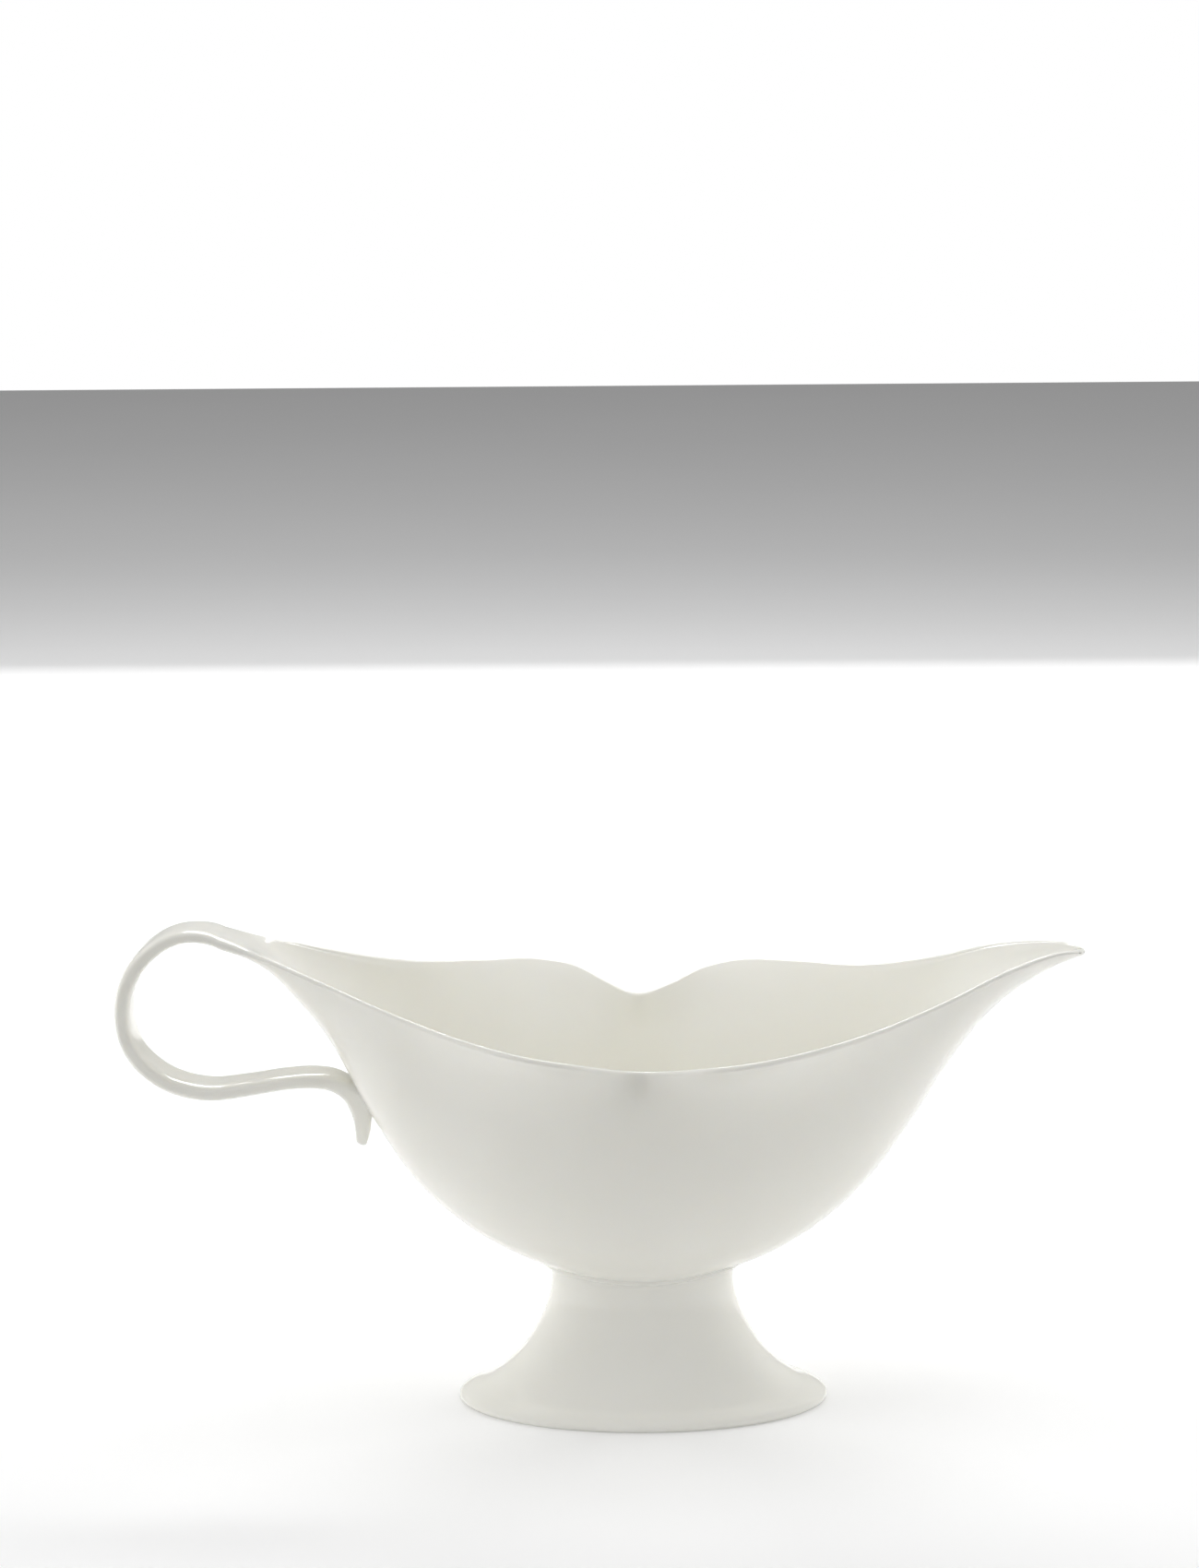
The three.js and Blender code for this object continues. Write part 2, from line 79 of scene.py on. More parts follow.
CHANNEL_SHARE = 0.4           # least width of the spout's channel, as a share of the outside
CHANNEL_SOFTNESS = 0.3        # rounding where the channel takes over from the even wall
FOOT_WALL = 3.0               # thickness of the foot's side
FOOT_RING_WIDTH = 3.4         # width of the flat ring that the foot stands on
RING_STEPS = (0.08, 0.5, 0.92)  # places across that ring, close to its edges and in the middle
FOOT_HOLLOW_START = 0.4       # least height of the hollow's surface above the floor
NECK_OVERLAP = 3.0            # how far the foot's neck runs up into the bowl
NECK_ROOF = 0.6               # the hollow's end above the bowl's seat
NECK_FILLET = 2.0             # rounding between the neck and the bowl
BODY_REACH_BACK = 110.0       # foot's centre to where the body's width runs out at the back
BODY_TAPER = 1.9              # how late the body narrows towards its ends
BODY_ROUNDING = 0.05          # evens out the body's widest place
WAIST_SOFTNESS = 0.4          # rounding where the body's width meets the waist's
SECTION_POWER_ENDS = 1.15     # roundness of the section at the ends
SECTION_POWER_DROP = 0.45     # how much fuller it is in the middle
SECTION_SPREAD = 55.0         # length over which it stays fuller
LIP_START = 0.5               # share of the height where the lip begins to flare
LIP_POWER = 3.0               # how late and sharply it flares
LIP_ROUNDNESS = 0.9           # height of the lip's rounding as a share of its half thickness
PINCH_SPREAD = 40.0           # length over which the body evens out the pinch of the rim
PINCH_SOFTNESS = 7.0          # how far the pinch is averaged along the rim
RIM_SOFTNESS = 1.2            # how far the rim's height is averaged
KEEL_SOFTNESS = 2.0           # how far the keel's height is averaged
LEAST_DEPTH = 1.0             # least height of the outside at the spout's tip
STRAP_BLEND_START = -86.0     # where the wall begins to close up into the handle's strap
STRAP_SQUARENESS = 3.6        # superellipse power of the strap's section
RIM_ARC = 0.14                # share of the strap's edge that the lip's rounding goes over to
MOST_STRETCH = 1.7            # limits the wall's thickening where it leans along the boat
ROOT_KNOT = 12                # row of HANDLE where the strap turns down along the body
ROOT_FILLET = 1.8             # rounding between the spur and the body
SPUR_TIP = 1.3                # rounded end of the spur
UPRIGHT_ROWS = 1.5            # rows of HANDLE over which the strap leaves the level joint

# Rim: along, half width as a share of LOBE_HALF_WIDTH, rise above the pinch
RIM = [
    (-JOINT_REACH, 0.160, 27.2),
    (-80, 0.332, 17.7),
    (-60, 0.553, 11.8),
    (-42, 0.810, 8.4),
    (-28, 0.955, 6.6),
    (-18, 0.951, 4.9),
    (-9, 0.824, 2.0),
    (-1, 0.728, 0.0),
    (7, 0.814, 1.2),
    (17, 0.963, 3.8),
    (26, 1.000, 5.3),
    (42, 0.869, 6.7),
    (58, 0.652, 8.6),
    (76, 0.443, 13.4),
    (94, 0.262, 19.6),
    (105, 0.135, 21.6),
    (SPOUT_REACH - 2, 0.057, 21.4),
    (SPOUT_REACH, 0.0, 20.8),
]

# Keel, the lowest line of the outside: along, height above the seat
KEEL = [
    (-JOINT_REACH, 86.3),
    (-99, 82.2),
    (-90, 75.2),
    (-80, 62.8),
    (-70, 43.1),
    (-60, 27.0),
    (-45, 12.5),
    (-32, 5.0),
    (-22, 0.9),
    (0, -3.0),
    (22, 1.0),
    (32, 4.7),
    (48, 14.8),
    (60, 26.8),
    (70, 41.5),
    (80, 58.0),
    (90, 70.2),
    (100, 77.5),
    (SPOUT_REACH, 83.4),
]

# Foot's outside: half length as a share of FOOT_HALF_LENGTH, height
FOOT_PROFILE = [
    (0.490, FOOT_TOP),
    (0.498, 29.0),
    (0.531, 24.0),
    (0.581, 19.0),
    (0.645, 14.0),
    (0.724, 9.8),
    (0.793, 7.0),
    (0.871, 4.6),
    (0.950, 3.0),
    (0.990, 1.9),
    (1.000, 0.9),
    (0.988, 0.0),
]

# Handle's middle line: along, height, half width as a share of HANDLE_HALF_WIDTH, thickness
HANDLE = [
    (-JOINT_REACH - SLIP_THICKNESS, 124.3, 1.215, 3.4),
    (-111.8, 125.8, 1.12, 3.4),
    (-117.5, 125.6, 1.06, 3.6),
    (-122.8, 123.3, 1.03, 3.9),
    (-128.0, 118.7, 1.0, 4.2),
    (-131.6, 112.4, 1.0, 4.3),
    (-132.9, 105.2, 1.0, 4.3),
    (-131.8, 98.0, 1.0, 4.3),
    (-127.9, 91.6, 1.0, 4.3),
    (-120.8, 86.5, 1.0, 4.3),
    (-111.5, 84.3, 0.97, 4.3),
    (-102, 85.2, 0.94, 4.2),
    (-92, 86.8, 0.91, 4.0),
    (-84, 87.2, 0.86, 4.2),
    (-78.6, 86.1, 0.77, 4.6),
    (-74.7, 83.1, 0.66, 5.0),
    (-72.6, 78.6, 0.54, 5.0),
    (-72.1, 74.0, 0.37, 4.2),
    (-72.5, 70.2, 0.2, 3.0),
]

# ---- Mesh counts ----
STATIONS = 230
STATION_CROWDING = 1.25       # how much closer the stations stand at the spout
NECK_RINGS = 24
SIDE_STEPS = 40
EDGE_STEPS = 10
FOOT_STEPS = 180
FOOT_PARTS = 16
LOOP_PARTS = 10
ROOT_PARTS = 30
CAP_STEPS = 8
CAP_END = 0.004               # the last cap ring's size as a share of the first


# ---- Curves ----

def curve(positions, values):
    """Smooth curve through the points, with tangents weighted by their spacing."""
    positions = np.array(positions, float)
    values = np.array(values, float)
    span = np.diff(positions)
    chord = np.diff(values) / span
    slope = np.zeros(len(positions))
    slope[1:-1] = (chord[:-1] * span[1:] + chord[1:] * span[:-1]) / (span[:-1] + span[1:])
    slope[0] = 2 * chord[0] - slope[1]
    slope[-1] = 2 * chord[-1] - slope[-2]

    def at(x):
        x = np.asarray(x, float)
        i = np.clip(np.searchsorted(positions, x) - 1, 0, len(span) - 1)
        t = (x - positions[i]) / span[i]
        rise = 3 * t ** 2 - 2 * t ** 3
        ends = (1 - rise) * values[i] + rise * values[i + 1]
        lean = (t ** 3 - 2 * t ** 2 + t) * slope[i] + (t ** 3 - t ** 2) * slope[i + 1]
        return ends + lean * span[i]

    return at


def softened(at, spread):
    """The same curve averaged over a short length, so that reflections run over it evenly."""
    offsets = np.linspace(-2, 2, 9)
    weights = np.exp(-offsets ** 2 / 2)
    weights /= weights.sum()

    def soft(x):
        x = np.asarray(x, float)
        return sum(w * at(x + o * spread) for w, o in zip(weights, offsets))

    return soft


def column(rows, index, scale=1.0, offset=0.0):
    """Curve of one column of a table against its first column."""
    return curve([row[0] for row in rows], [row[index] * scale + offset for row in rows])


def smooth_step(x):
    """Runs from 0 to 1 while x does, level at both ends."""
    x = np.clip(x, 0, 1)
    return x * x * (3 - 2 * x)


def smooth_max(a, b, softness):
    """The greater of two, rounded over where they cross."""
    return (a + b + np.hypot(a - b, softness)) / 2


def signed_power(x, power):
    """Power of the size of x, with the sign of x."""
    return np.sign(x) * np.abs(x) ** power


rim_half_width = column(RIM, 1, LOBE_HALF_WIDTH)
soft_half_width = softened(rim_half_width, PINCH_SOFTNESS)
rim_height = softened(column(RIM, 2, offset=PINCH_HEIGHT), RIM_SOFTNESS)
keel_height = softened(column(KEEL, 1, offset=SEAT_HEIGHT), KEEL_SOFTNESS)


# ---- Bowl ----

def waist_half_width(along):
    """The rim's half width with the pinch evened out, as the wall under the lip follows it."""
    edge = rim_half_width(along)
    return edge + (soft_half_width(along) - edge) * np.exp(-(along / PINCH_SPREAD) ** 2)


def body_half_width(along):
    """Half width of the body, which never comes out past the waist."""
    reach = np.where(along < 0, BODY_REACH_BACK, SPOUT_REACH)
    share = np.clip(np.hypot(along / reach, BODY_ROUNDING) - BODY_ROUNDING, 0, 1)
    width = BODY_HALF_WIDTH * (1 - share ** BODY_TAPER)
    return -smooth_max(-width, -waist_half_width(along), WAIST_SOFTNESS)


def hull(along, turn):
    """Half section of the outside: turn runs from 0 at the keel to a quarter turn at the rim."""
    power = SECTION_POWER_ENDS - SECTION_POWER_DROP * np.exp(-(along / SECTION_SPREAD) ** 2)
    top = rim_height(along)
    bottom = np.minimum(keel_height(along), top - LEAST_DEPTH)
    body = body_half_width(along)
    rise = 1 - np.clip(np.cos(turn), 0, 1) ** power
    flare = np.clip((rise - LIP_START) / (1 - LIP_START), 0, 1) ** LIP_POWER
    waist = waist_half_width(along)
    edge = waist + (rim_half_width(along) - waist) * flare
    across = body * np.sin(turn) + (edge - body) * flare
    return across, bottom + (top - bottom) * rise, rise


def even_turns(along, shares):
    """Turns that space the points of each half section evenly along it."""
    fine = np.linspace(0, 1, 500) ** 0.5
    fine = (np.pi / 2) * (1 - (1 - fine) ** 2)
    y, z, _ = hull(along[:, None], fine[None, :])
    length = np.cumsum(np.hypot(np.diff(y, prepend=y[:, :1]), np.diff(z, prepend=z[:, :1])), axis=1)
    return np.array([np.interp(shares * row[-1], row, fine) for row in length])


def half_sections(along):
    """Outside skin of every station: points, outward direction in the section, rise and stretch."""
    shares = np.linspace(0, 1, SIDE_STEPS)
    turns = even_turns(along, shares)
    column_along = along[:, None]
    y, z, rise = hull(column_along, turns)
    step = 1e-4
    y_ahead, z_ahead, _ = hull(column_along, np.minimum(turns + step, np.pi / 2))
    y_back, z_back, _ = hull(column_along, turns - step)
    y_back[:, 0] = -y_ahead[:, 0]
    z_back[:, 0] = z_ahead[:, 0]
    run = np.hypot(y_ahead - y_back, z_ahead - z_back)
    out_y = (z_ahead - z_back) / run
    out_z = -(y_ahead - y_back) / run
    lean = np.gradient(y, along, axis=0) * out_y + np.gradient(z, along, axis=0) * out_z
    stretch = np.minimum(np.hypot(1, lean), MOST_STRETCH)
    return {"y": y, "z": z, "rise": rise, "out_y": out_y, "out_z": out_z, "stretch": stretch}


def strap_section(turns, half_width, thickness):
    """Superellipse section of the handle's strap; a quarter turn is its top."""
    across = half_width * signed_power(np.cos(turns), 2 / STRAP_SQUARENESS)
    up = thickness / 2 * signed_power(np.sin(turns), 2 / STRAP_SQUARENESS)
    return across, up


def half_loop_turns():
    """Turn round the strap's section that each point of a half loop goes to."""
    shares = np.linspace(0, 1, SIDE_STEPS)
    flat = np.pi / 2 * (1 - RIM_ARC)
    under = -np.pi / 2 + shares * flat
    arc = np.linspace(-1, 1, EDGE_STEPS + 2)[1:-1] * RIM_ARC * np.pi / 2
    return np.concatenate([under, arc, -under[::-1]])


def full_loop(half_y, half_z):
    """Closed loops from half loops that run from the keel, over the rim, to the inside's keel."""
    y = np.concatenate([half_y, -half_y[:, -2:0:-1]], axis=1)
    z = np.concatenate([half_z, half_z[:, -2:0:-1]], axis=1)
    return y, z


def bowl_half_loops(along):
    """Half loops of the wall at every station, blended into the strap at the handle's end."""
    s = half_sections(along)
    station = along[:, None]
    thinning = smooth_step((station - TIP_THINNING_START) / (SPOUT_REACH - TIP_THINNING_START))
    taper = 1 - TIP_THINNING * thinning
    lip = s["rise"] ** LIP_ONSET
    wall = (BOWL_WALL + (LIP_THICKNESS - BOWL_WALL) * lip) * s["stretch"] * taper
    outer_y = s["y"] + s["out_y"] * wall * lip / 2
    outer_z = np.maximum(s["z"] + s["out_z"] * wall * lip / 2, SEAT_HEIGHT)
    inner_y = s["y"] + s["out_y"] * wall * (lip / 2 - 1)
    inner_z = s["z"] + s["out_z"] * wall * (lip / 2 - 1)
    inner_y = smooth_max(inner_y, CHANNEL_SHARE * s["y"], CHANNEL_SOFTNESS) - CHANNEL_SOFTNESS / 2
    inner_y = np.maximum(inner_y, 0)
    inner_y[:, 0] = 0
    inner_z = smooth_max(inner_z, SEAT_HEIGHT + FLOOR_THICKNESS, FLOOR_SOFTNESS)
    inner_z = np.minimum(inner_z, rim_height(station) - LIP_SINK * (1 - lip))
    radius = LIP_THICKNESS / 2 * s["stretch"][:, -1:] * taper
    turn = np.linspace(0, np.pi, EDGE_STEPS + 2)
    out_y = s["out_y"][:, -1:]
    out_z = s["out_z"][:, -1:]
    up = (np.sin(turn) - 1) * radius * LIP_ROUNDNESS
    edge_y = s["y"][:, -1:] + out_y * radius * np.cos(turn) - out_z * up
    edge_z = s["z"][:, -1:] + out_z * radius * np.cos(turn) + out_y * up
    half_y = np.concatenate([outer_y[:, :-1], edge_y, inner_y[:, -2::-1]], axis=1)
    half_z = np.concatenate([outer_z[:, :-1], edge_z, inner_z[:, -2::-1]], axis=1)
    behind = -JOINT_REACH - SLIP_THICKNESS - station
    middle = HANDLE[0][1] + (HANDLE[1][1] - HANDLE[0][1]) / (HANDLE[0][0] - HANDLE[1][0]) * behind
    widening = (HANDLE[0][2] - HANDLE[1][2]) / (HANDLE[0][0] - HANDLE[1][0])
    width = (HANDLE[0][2] - widening * behind) * HANDLE_HALF_WIDTH
    strap_y, strap_z = strap_section(half_loop_turns()[None, :], width, HANDLE[0][3])
    blend = smooth_step((STRAP_BLEND_START - station) / (STRAP_BLEND_START + JOINT_REACH))
    half_y = half_y + (strap_y - half_y) * blend
    half_z = half_z + (middle + strap_z - half_z) * blend
    return half_y, half_z


def bowl_rings():
    """Loops from the handle's joint to the spout, closed by a rounded nose."""
    t = np.linspace(0, 1, STATIONS)
    end = SPOUT_REACH - NOSE_LENGTH
    along = -JOINT_REACH + (JOINT_REACH + end) * (1 - (1 - t) ** STATION_CROWDING)
    y, z = full_loop(*bowl_half_loops(along))
    rings = np.stack([np.broadcast_to(along[:, None], y.shape), y, z], axis=2)
    return np.concatenate([rings, cap_rings(rings[-1], (1, 0, 0), NOSE_LENGTH)])


def cap_rings(ring, direction, length):
    """Rings that close a loop with a rounded end."""
    middle = ring.mean(axis=0)
    rings = []
    for step in range(1, CAP_STEPS + 1):
        turn = step / CAP_STEPS * np.pi / 2
        share = max(math.cos(turn), CAP_END)
        rings.append(middle + (ring - middle) * share + np.array(direction) * length * math.sin(turn))
    return np.array(rings)


# ---- Handle ----

def handle_path():
    """Middle line, half width, thickness and section normal all round the loop to the spur's tip."""
    knots = np.arange(len(HANDLE), dtype=float)
    table = np.array(HANDLE)
    at = [curve(knots, table[:, i]) for i in range(4)]
    t = np.concatenate([
        np.linspace(0, ROOT_KNOT, ROOT_KNOT * LOOP_PARTS, endpoint=False),
        np.linspace(ROOT_KNOT, knots[-1], int(knots[-1] - ROOT_KNOT) * ROOT_PARTS + 1),
    ])
    along, height, width, thickness = (f(t) for f in at)
    dx = at[0](np.minimum(t + 0.01, knots[-1])) - at[0](np.maximum(t - 0.01, 0))
    dz = at[1](np.minimum(t + 0.01, knots[-1])) - at[1](np.maximum(t - 0.01, 0))
    normal = np.stack([dz, -dx], axis=1)
    normal /= np.linalg.norm(normal, axis=1)[:, None]
    upright = (1 - smooth_step(t / UPRIGHT_ROWS))[:, None]
    normal = normal * (1 - upright) + np.array([0, 1]) * upright
    normal /= np.linalg.norm(normal, axis=1)[:, None]
    return along, height, width * HANDLE_HALF_WIDTH, thickness, normal


def handle_rings():
    """Loops of the strap from the joint round to the spur, closed by a rounded tip."""
    along, height, half_width, thickness, normal = handle_path()
    across, up = strap_section(half_loop_turns()[None, :], half_width[:, None], thickness[:, None])
    y, up = full_loop(across, up)
    x = along[:, None] + normal[:, :1] * up
    z = height[:, None] + normal[:, 1:] * up
    rings = np.stack([x, y, z], axis=2)
    return np.concatenate([rings, cap_rings(rings[-1], (0, 0, -1), SPUR_TIP)])


# ---- Foot ----

def oval_ring(half_length, inset, height):
    """Level oval, drawn in evenly by the inset."""
    turn = np.arange(FOOT_STEPS) / FOOT_STEPS * 2 * np.pi
    x = (half_length - inset) * np.cos(turn)
    y = (half_length * FOOT_OVALNESS - inset) * np.sin(turn)
    return np.stack([x, y, np.full_like(x, height)], axis=1)


def foot_outline():
    """Outside of the foot from its top down: half length and height."""
    table = np.array(FOOT_PROFILE)
    knots = np.arange(len(table), dtype=float)
    t = np.linspace(0, knots[-1], int(knots[-1]) * FOOT_PARTS + 1)
    share = curve(knots, table[:, 0])(t)
    height = np.maximum(curve(knots, table[:, 1])(t), 0)
    return share * FOOT_HALF_LENGTH, height


# ---- Meshes ----

def to_frame(points):
    """Millimetres from the foot's centre to the frame's metres."""
    return (np.asarray(points) + np.array([FOOT_CENTRE, 0, 0])) * MM


def ring_faces(count, size, closed_end):
    """Quads between neighbouring rings, with one many-sided face on the last ring if it is closed."""
    i = np.arange(count - 1)[:, None] * size
    j = np.arange(size)[None, :]
    k = (j + 1) % size
    quads = np.stack([i + j, i + k, i + size + k, i + size + j], axis=-1).reshape(-1, 4)
    faces = quads.tolist()
    if closed_end:
        faces.append([(count - 1) * size + n for n in range(size)])
    return faces


def faces_out(points, faces):
    """The faces, turned over if the signed volume that they enclose is negative."""
    middle = points.mean(axis=0)
    corners = np.array([face[:3] for face in faces])
    a, b, c = (points[corners[:, i]] - middle for i in range(3))
    if np.einsum("ij,ij->i", a, np.cross(b, c)).sum() < 0:
        return [face[::-1] for face in faces]
    return faces


def make_object(name, points, faces, normals=None):
    """Smooth-shaded object in the scene, with the given normals at its points if there are any."""
    mesh = bpy.data.meshes.new(name)
    mesh.from_pydata(points.tolist(), [], faces)
    mesh.validate()
    mesh.update()
    mesh.polygons.foreach_set("use_smooth", [True] * len(mesh.polygons))
    if normals is not None:
        mesh.normals_split_custom_set_from_vertices(normals.tolist())
    piece = bpy.data.objects.new(name, mesh)
    bpy.context.scene.collection.objects.link(piece)
    return piece


def vertex_normals(points, faces):
    """Smooth normals of a whole surface, before it is cut into pieces."""
    mesh = bpy.data.meshes.new("whole")
    mesh.from_pydata(points.tolist(), [], faces)
    mesh.update()
    normals = np.zeros(len(points) * 3)
    mesh.vertices.foreach_get("normal", normals)
    bpy.data.meshes.remove(mesh)
    return normals.reshape(-1, 3)


def take_part(points, faces, normals, keep):
    """The faces that keep() chooses, with only their own points."""
    chosen = [face for face in faces if keep(face)]
    used = sorted({v for face in chosen for v in face})
    place = {v: i for i, v in enumerate(used)}
    return points[used], [[place[v] for v in face] for face in chosen], normals[used]


def fillet(points, normals, tree, radius):
    """Swells a surface near the hull so that it runs out on it in a round fillet."""
    moved = points.copy()
    for i, point in enumerate(points):
        hit, hull_normal, _, distance = tree.find_nearest(Vector(point), radius * 4)
        if hit is None:
            continue
        gap = (Vector(point) - hit).dot(hull_normal)
        if gap >= radius:
            continue
        near = radius - max(gap, 0)
        moved[i] = point + normals[i] * (radius - math.sqrt(max(radius ** 2 - near ** 2, 0)))
    return moved


def build_bowl_and_handle():
    """One skin from the spout's nose to the spur's tip, cut into bowl and handle at their joint."""
    bowl = bowl_rings()[::-1]
    strap = handle_rings()
    size = bowl.shape[1]
    tree = hull_tree(bowl)
    root = ROOT_KNOT * LOOP_PARTS
    root_points = strap[root:].reshape(-1, 3)
    strap_faces = faces_out(strap.reshape(-1, 3), ring_faces(len(strap), size, True))
    strap_normals = vertex_normals(strap.reshape(-1, 3), strap_faces)[root * size:]
    strap[root:] = fillet(root_points, strap_normals, tree, ROOT_FILLET).reshape(-1, size, 3)
    points = np.concatenate([bowl, strap]).reshape(-1, 3)
    faces = ring_faces(len(bowl) + len(strap), size, True)
    faces.append(list(range(size))[::-1])
    faces = faces_out(points, faces)
    normals = vertex_normals(points, faces)
    cut = (len(bowl) - 1) * size
    points = to_frame(points)
    bowl_parts = take_part(points, faces, normals, lambda face: max(face) < cut + size)
    handle_parts = take_part(points, faces, normals, lambda face: max(face) >= cut + size)
    return make_object("bowl_body", *bowl_parts), make_object("handle_strap", *handle_parts), tree


def hull_tree(rings):
    """Search tree of the bowl's outer skin."""
    size = rings.shape[1]
    columns = list(range(size - SIDE_STEPS + 1, size)) + list(range(SIDE_STEPS))
    skin = rings[:, columns]
    count, width = skin.shape[:2]
    faces = []
    for i in range(count - 1):
        for j in range(width - 1):
            a = i * width + j
            faces.append((a, a + 1, a + width + 1, a + width))
    flat = skin.reshape(-1, 3)
    faces = faces_out(flat, faces)
    return BVHTree.FromPolygons([Vector(p) for p in flat], faces)


def build_foot(tree):
    """Hollow trumpet whose neck runs up into the bowl. The flat ring it stands on is a separate piece."""
    half_length, height = foot_outline()
    neck = half_length[0]
    neck_heights = np.linspace(FOOT_TOP + NECK_OVERLAP, FOOT_TOP, NECK_RINGS, endpoint=False)
    outer = [oval_ring(neck, 0, h) for h in neck_heights]
    outer += [oval_ring(a, 0, h) for a, h in zip(half_length, height)]
    count = len(outer)
    last = half_length[-1]
    rings = outer + [oval_ring(last, FOOT_RING_WIDTH * s, 0) for s in RING_STEPS]
    ring_end = len(rings)
    across = np.gradient(half_length)
    down = -np.gradient(height)
    slope = np.hypot(across, down)
    inner = []
    for i in range(len(half_length) - 1, -1, -1):
        h = height[i] - FOOT_WALL * across[i] / slope[i]
        inset = FOOT_WALL * down[i] / slope[i]
        if h > FOOT_HOLLOW_START and half_length[i] - inset < last - FOOT_RING_WIDTH:
            inner.append(oval_ring(half_length[i], inset, h))
    rings += inner
    rings.append(oval_ring(neck, FOOT_WALL, SEAT_HEIGHT + NECK_ROOF))
    points = np.array(rings).reshape(-1, 3)
    faces = faces_out(points, ring_faces(len(rings), FOOT_STEPS, False))
    normals = vertex_normals(points, faces)
    moved = fillet(points[:count * FOOT_STEPS], normals[:count * FOOT_STEPS], tree, NECK_FILLET)
    points[:count * FOOT_STEPS] = moved
    normals = vertex_normals(points, faces)
    first = count * FOOT_STEPS
    end = ring_end * FOOT_STEPS
    points = to_frame(points)

    def on_ring(face):
        return min(face) >= first and max(face) < end

    ring = take_part(points, faces, normals, on_ring)
    rest = take_part(points, faces, normals, lambda face: not on_ring(face))
    return make_object("pedestal", *rest), make_object("standing_ring", *ring)


# ---- Materials ----

def node(tree, kind, inputs=None, **settings):
    """New shader node; an input that is given a socket is linked to it."""
    made = tree.nodes.new(kind)
    for key, value in settings.items():
        setattr(made, key, value)
    for key, value in (inputs or {}).items():
        if isinstance(value, bpy.types.NodeSocket):
            tree.links.new(value, made.inputs[key])
        else:
            made.inputs[key].default_value = value
    return made


def new_material(name):
    """Material with its tree, its shader and the place on the object that its textures follow."""
    material = bpy.data.materials.new(name)
    material.use_nodes = True
    tree = material.node_tree
    shader = tree.nodes["Principled BSDF"]
    place = node(tree, "ShaderNodeTexCoord").outputs["Object"]
    return material, tree, shader, place


def ramp(tree, factor, stops):
    """Colour that runs between two stops, each a position and a colour."""
    made = node(tree, "ShaderNodeValToRGB", {"Fac": factor})
    elements = made.color_ramp.elements
    for element, (position, colour) in zip(elements, stops):
        element.position = position
        element.color = colour
    return made.outputs["Color"]


def glazed_porcelain():
    """Warm off-white glaze: soft drifts of tint and of gloss, on a faintly uneven surface."""
    material, tree, shader, place = new_material("glazed_porcelain")
    drift = node(tree, "ShaderNodeTexNoise", {
        "Vector": place, "Scale": 22.0, "Detail": 3.0, "Roughness": 0.5,
    })
    tint = ramp(tree, drift.outputs["Fac"], [
        (0.35, (0.872, 0.863, 0.803, 1)),
        (0.65, (0.895, 0.887, 0.832, 1)),
    ])
    tree.links.new(tint, shader.inputs["Base Color"])
    gloss = node(tree, "ShaderNodeTexNoise", {"Vector": place, "Scale": 60.0, "Detail": 2.0})
    rough = node(tree, "ShaderNodeMapRange", {
        "Value": gloss.outputs["Fac"], "From Min": 0.3, "From Max": 0.7, "To Min": 0.10, "To Max": 0.16,
    })
    tree.links.new(rough.outputs["Result"], shader.inputs["Roughness"])
    swell = node(tree, "ShaderNodeTexNoise", {"Vector": place, "Scale": 45.0, "Detail": 1.0})
    bump = node(tree, "ShaderNodeBump", {
        "Height": swell.outputs["Fac"], "Strength": 0.12, "Distance": 0.0006,
    })
    tree.links.new(bump.outputs["Normal"], shader.inputs["Normal"])
    shader.inputs["IOR"].default_value = 1.5
    shader.inputs["Subsurface Weight"].default_value = 0.12
    shader.inputs["Subsurface Radius"].default_value = (1.0, 0.9, 0.7)
    shader.inputs["Subsurface Scale"].default_value = 0.002
    return material


def bare_porcelain():
    """Unglazed body on the ring that the foot stands on: matt, with a fine ground-in grain."""
    material, tree, shader, place = new_material("bare_porcelain")
    grain = node(tree, "ShaderNodeTexNoise", {"Vector": place, "Scale": 900.0, "Detail": 4.0})
    tint = ramp(tree, grain.outputs["Fac"], [
        (0.3, (0.70, 0.68, 0.60, 1)),
        (0.7, (0.79, 0.77, 0.70, 1)),
    ])
    tree.links.new(tint, shader.inputs["Base Color"])
    shader.inputs["Roughness"].default_value = 0.6
    bump = node(tree, "ShaderNodeBump", {
        "Height": grain.outputs["Fac"], "Strength": 0.3, "Distance": 0.0001,
    })
    tree.links.new(bump.outputs["Normal"], shader.inputs["Normal"])
    return material


def floor_material():
    """Pale matt floor. It can't be seen from underneath."""
    material, tree, shader, place = new_material("studio_floor")
    fine = node(tree, "ShaderNodeTexNoise", {"Vector": place, "Scale": 3.0})
    tint = ramp(tree, fine.outputs["Fac"], [
        (0.3, (0.962, 0.962, 0.963, 1)),
        (0.7, (0.972, 0.972, 0.973, 1)),
    ])
    tree.links.new(tint, shader.inputs["Base Color"])
    shader.inputs["Roughness"].default_value = 0.9
    shader.inputs["Specular IOR Level"].default_value = 0.0
    under = node(tree, "ShaderNodeNewGeometry").outputs["Backfacing"]
    clear = node(tree, "ShaderNodeBsdfTransparent").outputs["BSDF"]
    mixed = node(tree, "ShaderNodeMixShader", {0: under, 1: shader.outputs["BSDF"], 2: clear})
    tree.links.new(mixed.outputs["Shader"], tree.nodes["Material Output"].inputs["Surface"])
    return material


# ---- Studio ----

